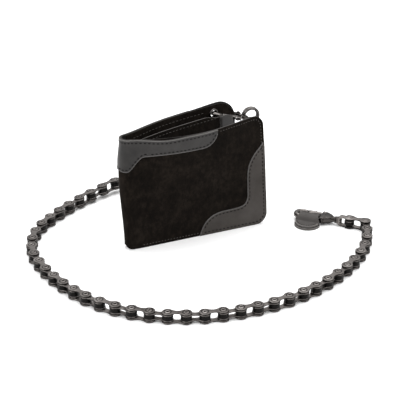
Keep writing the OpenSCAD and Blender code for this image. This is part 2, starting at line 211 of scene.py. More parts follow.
def metal_material(name, dark, light, rough, metallic=1.0, wear_and_highlight=None, spec=0.5):
    m = Surface(name)
    cloud = m.noise(130, 5, 0.6)
    # the last, brightest stop is both wear and painted highlight patches on the metal
    stops = [(0.3, dark), (0.62, light)] + ([(0.78, wear_and_highlight)] if wear_and_highlight else [])
    scratch = m.noise(420, 4, 0.7, (1, 1, 3))
    m.look(Base_Color=m.ramp(cloud, *stops), Metallic=metallic, Specular_IOR_Level=spec,
           Roughness=m.spread(scratch, rough - 0.07, rough + 0.1))
    m.bump((cloud, 0.06, 0.3), (m.noise(1300, 3), 0.1, 0.05))
    return m.material


M_SUEDE = suede_material()
M_SMOOTH = leather_material("smooth_leather", (0.0112, 0.0102, 0.0098), (0.0280, 0.0258, 0.0246),
                            0.42, spec=0.26)
M_PATCH = leather_material("patch_leather", (0.0225, 0.0180, 0.0150), (0.0400, 0.0340, 0.0300),
                           0.42, spec=0.26)
# a lighter leather for the turned edges: painted highlight
M_RIM_HIGHLIGHT = leather_material("rim_painted_highlight", (0.050, 0.047, 0.045), (0.085, 0.080, 0.077), 0.5)
M_STRIP = leather_material("strip_leather", (0.027, 0.0255, 0.0245), (0.042, 0.040, 0.0385), 0.5, spec=0.26)
M_INNER = leather_material("inner_leather", (0.0022, 0.0018, 0.0016), (0.0060, 0.0049, 0.0042),
                           0.75, 1100, spec=0.2)
M_FOB = leather_material("fob_leather", (0.020, 0.018, 0.017), (0.045, 0.040, 0.037), 0.55, 800, spec=0.3)
# a lighter leather for the fob's edges: painted highlight
M_FOB_RIM_HIGHLIGHT = leather_material("fob_rim_painted_highlight", (0.085, 0.078, 0.073), (0.15, 0.138, 0.13), 0.45)
M_LINING = lining_material()
M_CUT = cut_edge_material("cut_edge", (0.095, 0.088, 0.083))
M_CUT_DARK = cut_edge_material("cut_edge_dark", (0.022, 0.019, 0.017))
# the dark thread is real thread that also stands for the painted shade in the stitch holes
M_THREAD = thread_material("thread", (0.0040, 0.0034, 0.0030))
M_THREAD_LIGHT = thread_material("thread_light", (0.085, 0.078, 0.073))
# chain_metal is the lit copy, a painted highlight on faces across the pins; its twin is the painted-shade copy
# for sides and hollows
M_CHAIN = metal_material("chain_metal", (0.075, 0.067, 0.063), (0.175, 0.160, 0.152),
                         0.32, 0.9, (0.36, 0.34, 0.325))
M_CHAIN_SHADE = metal_material("chain_metal_painted_shade", (0.0028, 0.0025, 0.0023), (0.0085, 0.0077, 0.0072),
                              0.42, 0.5, spec=0.12)
M_FITTING = metal_material("fitting_metal", (0.060, 0.056, 0.053), (0.150, 0.140, 0.134),
                           0.18, wear_and_highlight=(0.50, 0.48, 0.465))
M_BODY = metal_material("body_metal", (0.022, 0.020, 0.019), (0.060, 0.055, 0.052),
                        0.26, wear_and_highlight=(0.16, 0.15, 0.145))
M_RING = metal_material("ring_metal", (0.060, 0.056, 0.053), (0.12, 0.113, 0.108),
                        0.16, wear_and_highlight=(0.22, 0.21, 0.20))


# ---- mesh helpers ----
def obj_from(name, verts, faces, materials, face_slots=None, smooth=True):
    """A mesh object from vertices in millimetres."""
    mesh = bpy.data.meshes.new(name)
    mesh.from_pydata([tuple(float(c) * MM for c in v) for v in verts], [], [tuple(f) for f in faces])
    for m in materials if isinstance(materials, (list, tuple)) else [materials]:
        mesh.materials.append(m)
    if face_slots is not None:
        mesh.polygons.foreach_set("material_index", face_slots)
    bm = bmesh.new()
    bm.from_mesh(mesh)
    bmesh.ops.recalc_face_normals(bm, faces=bm.faces)
    bm.to_mesh(mesh)
    bm.free()
    if smooth:
        mesh.polygons.foreach_set("use_smooth", [True] * len(mesh.polygons))
    o = bpy.data.objects.new(name, mesh)
    scene.collection.objects.link(o)
    return o


def apply_modifiers(o):
    bpy.context.view_layer.update()
    graph = bpy.context.evaluated_depsgraph_get()
    mesh = bpy.data.meshes.new_from_object(o.evaluated_get(graph))
    o.modifiers.clear()
    o.data = mesh


def bevel(o, width, segments=2, angle=40):
    """Rounds the edges that are sharper than an angle in degrees."""
    b = o.modifiers.new("bevel", "BEVEL")
    b.width = width * MM
    b.segments = segments
    b.limit_method = "ANGLE"
    b.angle_limit = radians(angle)
    b.harden_normals = False
    apply_modifiers(o)


def bore(o, m, radius, length):
    """Cuts a round hole along the Z axis of a frame."""
    v, f = lathe([(0, -length), (radius, -length), (radius, length), (0, length)], 40)
    cutter = place(obj_from(o.name + "_cutter", v, f, []), m)
    cut = o.modifiers.new("hole", "BOOLEAN")
    cut.object = cutter
    cut.solver = "EXACT"
    apply_modifiers(o)
    bpy.data.objects.remove(cutter)


def place(o, m):
    """Puts an object at a 4 by 4 frame given in millimetres."""
    w = Matrix(m.tolist())
    w.translation = Vector(m[:3, 3]) * MM
    o.matrix_world = w
    return o


def attach(o, body, node=None):
    """Makes a piece ride a body and the node that it replaces."""
    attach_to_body(o, body)
    if node:
        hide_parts(node)


def arc(x, y, r, angles):
    """Points on a circle."""
    return [(x + r * cos(a), y + r * sin(a)) for a in angles]


def merged(parts):
    """Joins (verts, faces) lists into one."""
    verts, faces = [], []
    for v, f in parts:
        base = len(verts)
        verts.extend(v)
        faces.extend([tuple(i + base for i in face) for face in f])
    return verts, faces


def tube(path, radius, sides=16, closed=False, round_ends=True):
    """A round tube along points; radius is one number or one per point."""
    path = [np.array(p, float) for p in path]
    count = len(path)
    radii = list(radius) if hasattr(radius, "__len__") else [radius] * count
    tangents = []
    for i in range(count):
        a = path[(i - 1) % count] if closed or i > 0 else path[i]
        b = path[(i + 1) % count] if closed or i < count - 1 else path[i]
        t = b - a
        tangents.append(t / (np.linalg.norm(t) or 1))
    ref = np.array([0, 0, 1.0]) if abs(tangents[0][2]) < 0.9 else np.array([1.0, 0, 0])
    normal = np.cross(tangents[0], ref)
    normal /= np.linalg.norm(normal)
    rings = []
    for i in range(count):
        normal = normal - tangents[i] * (normal @ tangents[i])
        normal /= np.linalg.norm(normal)
        side = np.cross(tangents[i], normal)
        rings.append((path[i], normal.copy(), side, radii[i], tangents[i]))
    if round_ends and not closed:
        def cap(ring, sign):
            p, n, s, r, t = ring
            return [(p + sign * t * r * sin(a), n, s, r * cos(a), t)
                    for a in (pi / 6, pi / 3, pi / 2 * 0.97)]
        rings = cap(rings[0], -1)[::-1] + rings + cap(rings[-1], 1)
    verts = []
    for p, n, s, r, _ in rings:
        for k in range(sides):
            a = TAU * k / sides
            verts.append(p + r * (cos(a) * n + sin(a) * s))
    faces = []
    total = len(rings)
    for i in range(total if closed else total - 1):
        j = (i + 1) % total
        for k in range(sides):
            k2 = (k + 1) % sides
            faces.append((i * sides + k, i * sides + k2, j * sides + k2, j * sides + k))
    if not closed:
        faces.append(tuple(range(sides))[::-1])
        faces.append(tuple((total - 1) * sides + k for k in range(sides)))
    return verts, faces


def turned(profile, sides):
    """Circles of points round the Z axis, one for each (radius, height)."""
    return [(r * cos(TAU * k / sides), r * sin(TAU * k / sides), h)
            for r, h in profile for k in range(sides)]


def laid(verts, axis, origin):
    """Points made round the Z axis, laid round another axis and moved."""
    order = {"x": (2, 0, 1), "y": (0, 2, 1), "z": (0, 1, 2)}[axis]
    return [tuple(v[i] + o for i, o in zip(order, origin)) for v in verts]


def lathe(profile, sides=40, axis="z", origin=(0, 0, 0)):
    """A solid of revolution: profile is (radius, height) from one end to the other; radius 0 closes it."""
    verts, faces, rows = [], [], []
    for r, h in profile:
        count = sides if r > 1e-6 else 1
        rows.append(list(range(len(verts), len(verts) + count)))
        verts += turned([(r, h)], sides)[:count]
    for a, b in zip(rows, rows[1:]):
        for k in range(sides):
            k2 = (k + 1) % sides
            if len(a) == 1 and len(b) > 1:
                faces.append((a[0], b[k], b[k2]))
            elif len(b) == 1 and len(a) > 1:
                faces.append((a[k], b[0], a[k2]))
            elif len(a) > 1:
                faces.append((a[k], a[k2], b[k2], b[k]))
    return laid(verts, axis, origin), faces


def ring_lathe(profile, sides=40, axis="z", origin=(0, 0, 0)):
    """A closed ring of revolution: the profile closes on itself."""
    faces = []
    n = len(profile)
    for i in range(n):
        j = (i + 1) % n
        for k in range(sides):
            k2 = (k + 1) % sides
            faces.append((i * sides + k, i * sides + k2, j * sides + k2, j * sides + k))
    return laid(turned(profile, sides), axis, origin), faces


BLOCK_FACES = [(0, 1, 3, 2), (4, 6, 7, 5), (0, 4, 5, 1), (2, 3, 7, 6), (0, 2, 6, 4), (1, 5, 7, 3)]


def block(lo, hi):
    """A block between two opposite corners."""
    return [(x, y, z) for x in (lo[0], hi[0]) for y in (lo[1], hi[1]) for z in (lo[2], hi[2])], BLOCK_FACES


def wedge(x0, x1, half0, half1, z0, z1):
    """A block that tapers along X."""
    ends = ((x0, half0), (x1, half1))
    return [(x, sign * h, z) for x, h in ends for sign in (-1, 1) for z in (z0, z1)], BLOCK_FACES


def normals(line):
    """Unit vectors across a line of points in a plane, a quarter turn from its direction."""
    d = np.gradient(line, axis=0)
    n = np.stack([-d[:, 1], d[:, 0]], axis=1)
    return n / np.linalg.norm(n, axis=1)[:, None]


# ---- the leaves' surface ----
PHI_BACK, PHI_FRONT = pi / 2 + OPEN, 1.5 * pi
ARC = R_OUT * (PHI_FRONT - PHI_BACK)
HALF = ARC / 2
COS, SIN = cos(OPEN), sin(OPEN)


def smooth(t):
    t = min(max(t, 0.0), 1.0)
    return t * t * (3 - 2 * t)


def belly(x):
    """How a leaf bows along its length: nothing at the fold, most at a third, nothing at the outer end."""
    t = min(max(x / 108, 0), 1) ** 0.75
    return sin(pi * t) ** (2.0 if t < 0.5 else 1.4)


def gap(x, z):
    """Half the wallet's thickness: it is pinched at the fold, most at the bottom."""
    at_fold = 4.9 + 2.2 * smooth(z / 60) - 1.1 * smooth((z - 68) / 21)
    return R_OUT - (R_OUT - at_fold) * exp(-(max(x, 0) / 30) ** 2)


def bow(side, x, z):
    """How far a leaf bows outwards, more towards its top."""
    h = min(max(z / HIGH, 0), 1)
    if side == "front":
        return 7.6 * belly(x) * h ** 1.5 - 3.2 * smooth((x - 80) / 31) * h ** 2
    return 2.6 * belly(x) * h ** 1.5


def lean(side, x, z):
    """The front leaf's outer edge leans in at the top and out at the bottom."""
    if side == "back":
        return 0.0
    return smooth((x - 50) / 60) * (2.4 * max((z - 22) / 67, 0) ** 1.2 - 1.0 * max(1 - z / 30, 0))


def leaf_point(side, x, z, layer, follow=1.0):
    """A point of a leaf: layer is its distance from the middle plane where the leaf isn't pinched."""
    g = gap(x, z)
    if layer > 5:
        y = layer - R_OUT + (R_OUT if side == "front" else 2 * g - R_OUT)
    else:
        y = layer * g / R_OUT + (R_OUT - g) * (1 if side == "front" else -1)
    y += follow * bow(side, x, z)
    x -= lean(side, x, z)
    if side == "front":
        return np.array([FX + x, FY - y, z])
    return np.array([FX + x * COS - y * SIN, FY + x * SIN + y * COS, z])


def skin(u, z, off):
    """A point of the outer sheet: u is the length along it from the fold's middle, plus to the front."""
    if u >= HALF:
        return leaf_point("front", u - HALF, z, R_OUT + off)
    if u <= -HALF:
        return leaf_point("back", -HALF - u, z, R_OUT + off)
    t = (u + HALF) / ARC
    phi = PHI_BACK + t * (PHI_FRONT - PHI_BACK)
    g = gap(0, z)
    centre = np.array([FX, FY - R_OUT + g])

    def at(angle, r):
        return centre + r * np.array([cos(angle), sin(angle)])

    miss = leaf_point("back", 0, z, R_OUT)[:2] - at(PHI_BACK, g)
    p = at(phi, g + off) + miss * (1 - smooth(t))
    return np.array([p[0], p[1], z])


def corner_span(x, length, low, high, r_low, r_high):
    """The lowest and highest z of an outline with round outer corners."""
    z0, z1 = low, high
    if x > length - r_low:
        z0 = low + r_low - sqrt(max(r_low ** 2 - (x - length + r_low) ** 2, 0))
    if x > length - r_high:
        z1 = high - r_high + sqrt(max(r_high ** 2 - (x - length + r_high) ** 2, 0))
    return z0, z1


def top_of(u):
    """Height of the sheet's top edge before its corners."""
    if u > HALF:
        x = u - HALF
        return HIGH - 2.6 * exp(-((x - 25) / 17) ** 2) - 1.7 * exp(-((x - 56) / 20) ** 2)
    if u < -HALF:
        x = -HALF - u
        return HIGH - 0.8 * belly(x) + 0.6 * smooth((x - 70) / 20)
    return HIGH


def shell_span(u):
    """The outer sheet's lowest and highest z; its lower edge lifts at the fold."""
    x = abs(u) - HALF
    z0, z1 = corner_span(x, LEAF, 0, top_of(u), CORNER_LOW, CORNER_HIGH["front" if u > 0 else "back"])
    if x < 9:
        z0 = 5.2 * (1 - sqrt(max(1 - ((9 - x) / (HALF + 9)) ** 2, 0)))
    return z0, z1


def columns(start, end, step, dense_end=0.0):
    """Stations from start to end, closer together over the last dense_end."""
    n = max(int(abs(end - start - dense_end) / step), 2)
    out = list(np.linspace(start, end - dense_end, n))
    if dense_end:
        k = int(8 + dense_end * 0.7)
        out += [end - dense_end * (1 - sin(a)) for a in np.linspace(0, pi / 2, k)[1:]]
    return out


def thick_sheet(name, outer, inner, materials):
    """A closed sheet between two grids of points, each a list of columns of one length.
    materials are for the outer face, inner face and edge."""
    n, m = len(outer), len(outer[0])
    base = n * m
    verts = [point for grid in (outer, inner) for column in grid for point in column]
    faces, slots = [], []
    for i in range(n - 1):
        for k in range(m - 1):
            a, b, c, d = i * m + k, (i + 1) * m + k, (i + 1) * m + k + 1, i * m + k + 1
            faces += [(a, b, c, d), (base + a, base + d, base + c, base + b)]
            slots += [0, 1]
    rim = [(i * m + k, (i + 1) * m + k) for i in range(n - 1) for k in (0, m - 1)]
    rim += [(i * m + k, i * m + k + 1) for i in (0, n - 1) for k in range(m - 1)]
    faces += [(a, b, base + b, base + a) for a, b in rim]
    slots += [2] * len(rim)
    return obj_from(name, verts, faces, materials, slots)


def sheet(name, us, span, rows, outer, inner, materials, point=skin):
    """A sheet with a column at each u, from span(u)[0] to span(u)[1]; outer and inner are its offsets."""
    grids = []
    for off in (outer, inner):
        grid = []
        for u in us:
            z0, z1 = span(u)
            grid.append([point(u, z0 + (z1 - z0) * k / rows, off) for k in range(rows + 1)])
        grids.append(grid)
    return thick_sheet(name, *grids, materials)


def run_length(points):
    """The distance along a line at each of its points."""
    return np.concatenate([[0], np.cumsum(np.linalg.norm(np.diff(points, axis=0), axis=1))])


def resample(points, step):
    """Even steps along a smooth curve through the points."""
    p = [np.array(q, float) for q in points]
    n = len(p)
    dense = []
    for i in range(n - 1):
        p0 = p[i - 1] if i > 0 else 2 * p[0] - p[1]
        p1, p2 = p[i], p[i + 1]
        p3 = p[i + 2] if i < n - 2 else 2 * p[-1] - p[-2]
        for k in range(12):
            t = k / 12
            dense.append(0.5 * (2 * p1 + (p2 - p0) * t + (2 * p0 - 5 * p1 + 4 * p2 - p3) * t * t
                                + (3 * p1 - p0 - 3 * p2 + p3) * t ** 3))
    dense = np.array(dense + [p[-1]])
    length = run_length(dense)
    count = max(int(round(length[-1] / step)), 2)
    at = np.linspace(0, length[-1], count + 1)
    return np.array([[np.interp(s, length, dense[:, c]) for c in range(dense.shape[1])] for s in at])


def strip_sheet(name, inner_line, outer_line, across, outer, inner, materials):
    """A sheet between two lines of (u, z) with the same number of points."""
    def at(i, f, off):
        u, z = inner_line[i] + (outer_line[i] - inner_line[i]) * f
        return skin(u, z, off)

    return sheet(name, range(len(inner_line)), lambda i: (0.0, 1.0), across, outer, inner, materials, at)


def stitches(name, lines, material, point, off, size):
    """Threads lying along lines of (u, z) on the surface, their ends drawn in."""
    length, pitch, radius = size
    ends = [(-1, -0.30, 0.55), (-0.6, -0.06, 0.95), (0, 0.06, 1), (0.6, -0.06, 0.95), (1, -0.30, 0.55)]
    parts = []
    for line in lines:
        path = resample(line, pitch)
        for a, b in zip(path, path[1:]):
            mid, half = (a + b) / 2, (b - a) / 2 * (length / pitch)
            pts = [point(*(mid + half * along), off + drop * radius / 0.24) for along, drop, _ in ends]
            parts.append(tube(pts, [radius * thin for _, _, thin in ends], 6, round_ends=False))
    v, f = merged(parts)
    return obj_from(name, v, f, material)


def rim_tube(points):
    """The turned edge along a sewn piece; it is given a lighter leather, a painted highlight."""
    return tube(points, RIM_R, 8)


def across_fold(o):
    """Bakes a piece's frame into its mesh; the piece is shaped across both leaves and the fold and rides no
    body.
    """
    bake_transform(o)
    return o


# ---- outer leather ----
EYE = leaf_point("back", EYELET_X, EYELET_Z, R_OUT)
leaf_frame = np.array([[COS, 0, SIN, EYE[0]], [SIN, 0, -COS, EYE[1]], [0, 1, 0, EYE[2]], [0, 0, 0, 1.0]])

back_us = [-(HALF + x) for x in columns(0, LEAF, 1.6, 18)][::-1]
fold_us = list(np.linspace(-HALF, HALF, 28))[1:-1]
front_us = [HALF + x for x in columns(0, LEAF, 1.6, 11)]
shell = sheet("suede_shell", back_us + fold_us + front_us, shell_span, 56, 0, -SUEDE_T,
              [M_SUEDE, M_LINING, M_CUT_DARK])
bevel(shell, 0.3, 2, 50)
bore(shell, leaf_frame, EYELET_BORE, 6)
across_fold(shell)
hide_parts("suede_back", "suede_front")


# The band along the top: its lower edge drops into a tongue at the fold and curls up at its ends.
def band_low(u):
    a = abs(u)
    x = a - HALF
    if x > 55:
        end = 84.5
        return end + 2.5 - sqrt(max(12.5 ** 2 - (x - 55) ** 2, 0))
    tongue = 63.6 + 0.9 * smooth(1 - a / 5)
    rise = smooth((a - 7.5) / 14)
    return tongue + (74.5 - tongue) * rise


BAND_END = 67.4


def band_span(u):
    return band_low(u), top_of(u) - 0.1


def band_columns():
    ends = [HALF + x for x in columns(0, BAND_END, 1.2, 5)]
    return [-u for u in ends][::-1] + list(np.linspace(-HALF, HALF, 40))[1:-1] + ends


band = sheet("top_band", band_columns(), band_span, 14, BAND_T, LIFT, [M_SMOOTH, M_CUT, M_CUT])
bevel(band, 0.22, 2, 45)
across_fold(band)
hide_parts("top_band_back", "top_band_front")


# The corner patches: a strip between a wavy inner edge and the leaf's own edge
def patch_lines():
    inner = resample([(110.6, 68.5), (107.2, 64.5), (101.2, 58.8), (96.4, 51.0), (95.0, 41.5), (95.0, 30.0),
                      (94.6, 24.0), (92.0, 19.4), (87.0, 17.9), (80.0, 17.6), (72.5, 17.4), (65.4, 15.6),
                      (59.6, 11.0), (56.4, 5.2), (54.8, 0.15)], 1.6)
    r, edge, foot = CORNER_LOW, LEAF - 0.1, 0.1
    corner = arc(edge - r, foot + r, r, -np.linspace(0, pi / 2, 12))
    outline = [(edge, 68.5), (edge, 40), (edge, 20)] + corner + [(88, foot), (72, foot), (54.8, foot)]
    outline = np.array(outline)
    # the two lines are matched by the share of their length, which is eased round the corner
    along_out = run_length(outline)
    along_in = run_length(inner)
    warp = np.interp(along_in / along_in[-1], [0, 0.42, 0.58, 1], [0, 0.44, 0.60, 1])
    outer = [[np.interp(f * along_out[-1], along_out, outline[:, k]) for k in (0, 1)] for f in warp]
    return inner, np.array(outer)


def make_patch(side):
    sign = SIGN[side]
    inner, outer = patch_lines()
    to_u = lambda line: np.array([(sign * (HALF + x), z) for x, z in line])
    o = strip_sheet(f"corner_patch_{side}_leather", to_u(inner), to_u(outer), 10, BAND_T, LIFT,
                    [M_PATCH, M_CUT, M_CUT])
    bevel(o, 0.22, 2, 45)
    attach(o, f"{side}_leaf", f"corner_patch_{side}")
    across = normals(inner)
    lines = [to_u(inner[3:-3:3] + across[3:-3:3] * 1.9)]
    s = stitches(f"corner_patch_{side}_stitches", lines, M_THREAD, skin, BAND_T, HEAVY)
    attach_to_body(s, f"{side}_leaf")
    v, f = rim_tube([skin(u, z, BAND_T - 0.1) for u, z in to_u(inner[1:-1] + across[1:-1] * 0.3)])
    r = obj_from(f"corner_patch_{side}_rim", v, f, M_RIM_HIGHLIGHT)
    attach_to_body(r, f"{side}_leaf")


for side in ("front", "back"):
    make_patch(side)


# Stitches: round each leaf's edge, and along the band
def edge_line(side, inset, x_from):
    """A line inside a leaf's edge: along the bottom, up the outer end and back along the top."""
    low, high = CORNER_LOW, CORNER_HIGH[side]
    pts = [(x, inset) for x in np.linspace(x_from, LEAF - low, 12)]
    r = low - inset
    pts += arc(LEAF - low, low, r, np.linspace(0.2, pi / 2, 7) - pi / 2)
    pts += [(LEAF - inset, z) for z in np.linspace(low + 6, HIGH - high - 4, 10)]
    r = high - inset
    pts += arc(LEAF - high, HIGH - high, r, np.linspace(0.1, pi / 2, 7))
    pts += [(x, top_of(SIGN[side] * (HALF + x)) - inset)
            for x in np.linspace(LEAF - high - 4, BAND_END + 2, 8)]
    return [(SIGN[side] * (HALF + x), z) for x, z in pts]


def on_top(u, z, off):
    """The surface a stitch lies on: the patch where there is one, else the suede."""
    x = abs(u) - HALF
    extra = BAND_T if (z < 68 and x > 56.5 and (z < 17 or x > 97)) else 0
    return skin(u, z, off + extra)


def runs(line, on_patch):
    """The stretches of an edge line that lie on the patch, or those that don't."""
    out, run = [], []
    for u, z in resample(line, 1.0):
        x = abs(u) - HALF
        if ((z < 12 and x > 57.5) or (x > 100 and z < 66)) == on_patch:
            run.append((u, z))
        elif len(run) > 5:
            out.append(run)
            run = []
        else:
            run = []
    return out + ([run] if len(run) > 5 else [])


for side in ("front", "back"):
    edge = edge_line(side, 2.4, 8)
    for name, thread, size in (("patch", M_THREAD, HEAVY), ("suede", M_THREAD_LIGHT, FINE)):
        lines = runs(edge, name == "patch")
        s = stitches(f"{name}_edge_stitches_{side}", lines, thread, on_top, 0, size)
        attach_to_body(s, f"{side}_leaf")

# three rows on the band: under its top edge, above its lower edge on each leaf, and round the tongue
us = np.linspace(-(HALF + BAND_END - 2.6), HALF + BAND_END - 2.6, 90)
band_lines = [[(u, top_of(u) - 2.3) for u in us]]
for sign in (-1, 1):
    low = [(HALF + x, band_low(HALF + x) + 1.7) for x in np.linspace(14, 55, 12)]
    low += arc(HALF + 55, 87, 10.8, np.linspace(0.15, 1.35, 8) - pi / 2)
    band_lines.append([(sign * u, z) for u, z in low])
band_lines.append([(u, band_low(u) + 1.7 + 0.5 * smooth((abs(u) - 8) / 4))
                   for u in np.linspace(-HALF - 12, HALF + 12, 30)])
across_fold(stitches("band_stitches", band_lines, M_THREAD, skin, BAND_T, HEAVY))
end = HALF + BAND_END - 0.3
stations = np.concatenate([np.linspace(-end, -HALF, 60)[:-1], np.linspace(-HALF, HALF, 40),
                           np.linspace(HALF, end, 60)[1:]])
v, f = merged([rim_tube([skin(u, band_low(u) + 0.3, BAND_T - 0.1) for u in stations]),
               rim_tube([skin(u, top_of(u) - 0.45, BAND_T - 0.1) for u in stations])])
across_fold(obj_from("band_rim", v, f, M_RIM_HIGHLIGHT))


# ---- inside of the wallet ----
def inside(side, follow):
    return lambda x, z, layer: leaf_point(side, x, z, layer, follow)


def leaf_sheet(name, side, x0, x1, z0, z1, r, rows, layer, thick, materials, follow, fall=0.0):
    """A sheet of a leaf from x0 to x1, with round outer corners; fall lowers the outer end of its top."""
    def span(x):
        top = z1 - fall * smooth((x - 76) / 14) - 0.5 * sin(pi * (x - x0) / (x1 - x0))
        return corner_span(x, x1, z0, top, r, r) if r else (z0, top)
    xs = columns(x0, x1, 2.0, r)
    o = sheet(name, xs, span, rows, layer + thick, layer, materials, inside(side, follow))
    bevel(o, 0.12, 2, 50)
    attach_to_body(o, f"{side}_leaf")
    return o


def row(side, x0, x1, z, layer, follow, name, material=M_THREAD):
    """A straight row of stitches on a sheet of a leaf."""
    line = [(x, z) for x in np.linspace(x0, x1, 24)]
    s = stitches(name, [line], material, inside(side, follow), layer, INSIDE)
    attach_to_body(s, f"{side}_leaf")


LINING_AT = R_OUT - SUEDE_T - LINING_T - 0.02
PANEL_AT, PANEL_T, PANEL_R = 1.4, 0.7, 7.5
POCKETS = ((70, 0.75, 16), (56, 0.15, 18))  # top, layer and start of each card pocket
POCKET_END = LEAF - 20.5
# top of the lining, top of the panel, and how far the panel follows the leaf's bow
INSIDES = {"front": (HIGH - 1.2, 80.5, 0.25), "back": (HIGH - 0.5, 82.6, 0.75)}
for side, (lining_top, panel_top, panel_follow) in INSIDES.items():
    lining = leaf_sheet(f"lining_{side}_cloth", side, 1.0, LEAF - 0.6, 0.8, lining_top, CORNER_HIGH[side],
                        40, LINING_AT, LINING_T, [M_SUEDE, M_SUEDE, M_CUT_DARK], 1.0)
    if side == "back":
        bore(lining, leaf_frame, EYELET_BORE, 6)
    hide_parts(f"lining_{side}")
    panel = leaf_sheet(f"inner_panel_{side}_leather", side, 4.0, LEAF - 7, 1.5, panel_top, PANEL_R, 36,
                       PANEL_AT, PANEL_T, [M_SUEDE, M_SUEDE, M_CUT], panel_follow, fall=2.6)
    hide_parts(f"inner_panel_{side}")
    for k, (height, layer, start) in enumerate(POCKETS, 1):
        node = f"card_pocket_{side}_{k}"
        pocket = leaf_sheet(f"{node}_leather", side, start, POCKET_END, 3, height, 0, 24, layer, 0.5,
                            [M_INNER, M_INNER, M_CUT_DARK], panel_follow)
        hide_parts(node)
        row(side, start + 2, POCKET_END - 2, height - 2.2, layer, panel_follow, f"{node}_stitches")
    row(side, 8, 88, panel_top - 3.2, PANEL_AT, panel_follow, f"inner_panel_{side}_stitches", M_THREAD_LIGHT)
    row(side, 8, 80, HIGH - 5.2, LINING_AT, 1.0, f"lining_{side}_stitches", M_THREAD_LIGHT)

    def strip_span(x, top=panel_top - 2.5):
        return corner_span(x, LEAF - 6.9, 1.5, top, PANEL_R, PANEL_R)
    xs = columns(LEAF - 20, LEAF - 6.8, 1.5, PANEL_R)
    strip = sheet(f"edge_strip_{side}_leather", xs, strip_span, 36, 1.42, 0.9, [M_STRIP, M_STRIP, M_CUT],
                  inside(side, panel_follow))
    attach(strip, f"{side}_leaf", f"edge_strip_{side}")

# ---- eyelet ----
rim = [(2.85, 2.2), (2.85, -0.2), (3.05, -0.62), (3.45, -0.78), (3.9, -0.6), (4.2, -0.15), (4.2, 0.0),
       (3.1, 0.0), (3.1, 2.2)]
v, f = ring_lathe(rim, 48)
eyelet = place(obj_from("eyelet_rim", v, f, M_FITTING), leaf_frame)
attach(eyelet, "back_leaf", "eyelet")
rim = [(3.1, 1.75), (2.9, 1.9), (3.05, 2.3), (3.55, 2.45), (4.05, 2.15), (4.2, 1.75)]
v, f = ring_lathe(rim, 48)
washer = place(obj_from("eyelet_back_ring", v, f, M_FITTING), leaf_frame)
attach(washer, "back_leaf", "eyelet_washer")


# ---- frames of the chain ----
def rot(axis, turn):
    return np.array(Matrix.Rotation(radians(turn), 4, axis))


def move(x, y=0.0, z=0.0):
    m = np.eye(4)
    m[:3, 3] = (x, y, z)
    return m


# pitches, then the turn about the pin, the twist and the side bend of each, as in the part
ROUTE = [(5, -6.5, 0, 0), (5, -4.5, 0, 0), (6, -5, 0, 0), (8, -7, 0, 0), (5, -4.5, 0, 0), (5, -9.5, 0, 0),
         (6, -4, -1.5, -0.5), (4, -4.5, -4, 3), (3, -1, -5, 2.5), (3, -23.5, -5, 2), (3, -21.5, 5, -2.5)]
BELT_END = move(174.5 + FX, -52 + FY, CHAIN_Z)
LINKS = []
at = BELT_END @ rot("Z", -108.5)
for count, turn, twist, side_bend in ROUTE:
    for _ in range(count):
        LINKS.append(at @ rot("X", twist) @ rot("Y", side_bend) @ rot("Z", turn))
        at = LINKS[-1] @ move(PITCH)
WALLET_END = at @ rot("Z", 45.5)
BELT_SHACKLE = BELT_END @ rot("Z", 133)


# ---- chain links ----
def plate_outline(inset=0.0):
    """A link plate's outline: two round ends and a waist that meets them smoothly."""
    waist = 1.9
    big = (PITCH ** 2 / 4 + waist ** 2 - PLATE_R ** 2) / (2 * (PLATE_R - waist))
    h = waist + big
    meet = atan2(h, PITCH / 2)
    end = np.linspace(meet, TAU - meet, 21)
    dip = np.linspace(0, pi - 2 * meet, 11)[1:-1]
    return (arc(0, 0, PLATE_R - inset, end) + arc(PITCH / 2, -h, big + inset, pi - meet - dip)
            + arc(PITCH, 0, PLATE_R - inset, end - pi) + arc(PITCH / 2, h, big + inset, -meet - dip))


def plate(z0, z1, hole_r, chamfer=0.24):
    """A link plate with rounded rims and two holes."""
    bm = bmesh.new()
    rings = []
    for inset, z in ((chamfer, z0), (0, z0 + chamfer), (0, z1 - chamfer), (chamfer, z1)):
        rings.append([bm.verts.new((x, y, z)) for x, y in plate_outline(inset)])
    n = len(rings[0])
    for a, b in zip(rings, rings[1:]):
        for k in range(n):
            bm.faces.new((a[k], a[(k + 1) % n], b[(k + 1) % n], b[k]))
    holes = []
    for x0 in (0, PITCH):
        circle = arc(x0, 0, hole_r, [TAU * k / 24 for k in range(24)])
        pair = [[bm.verts.new((x, y, z)) for x, y in circle] for z in (z0, z1)]
        for k in range(24):
            bm.faces.new((pair[0][k], pair[1][k], pair[1][(k + 1) % 24], pair[0][(k + 1) % 24]))
        holes.append(pair)
    for ring, level in ((rings[0], 0), (rings[-1], 1)):
        edges = [bm.edges.get((ring[k], ring[(k + 1) % n])) for k in range(n)]
        for pair in holes:
            edges += [bm.edges.get((pair[level][k], pair[level][(k + 1) % 24])) for k in range(24)]
        bmesh.ops.triangle_fill(bm, use_beauty=True, edges=edges)
    bm.verts.index_update()
    verts = [tuple(v.co) for v in bm.verts]
    faces = [tuple(v.index for v in f.verts) for f in bm.faces]
    bm.free()
    return verts, faces


def pin(x):
    """A pin with riveted, slightly dished heads."""
    head = [(0, 3.72), (0.6, 3.76), (0.95, 4.1), (1.35, CHAIN_Z), (1.8, 4.2), (2.15, 4.02), (2.2, 3.93),
            (PIN_R, 3.9)]
    profile = head + [(r, -z) for r, z in head[::-1]]
    return lathe(profile, 28, origin=(x, 0, 0))


def roller(x):
    e = PLATE_IN - 0.05
    profile = [(2.45, -e), (ROLLER_R - 0.25, -e), (ROLLER_R, -e + 0.25), (ROLLER_R, e - 0.25),
               (ROLLER_R - 0.25, e), (2.45, e)]
    return ring_lathe(profile, 36, origin=(x, 0, 0))


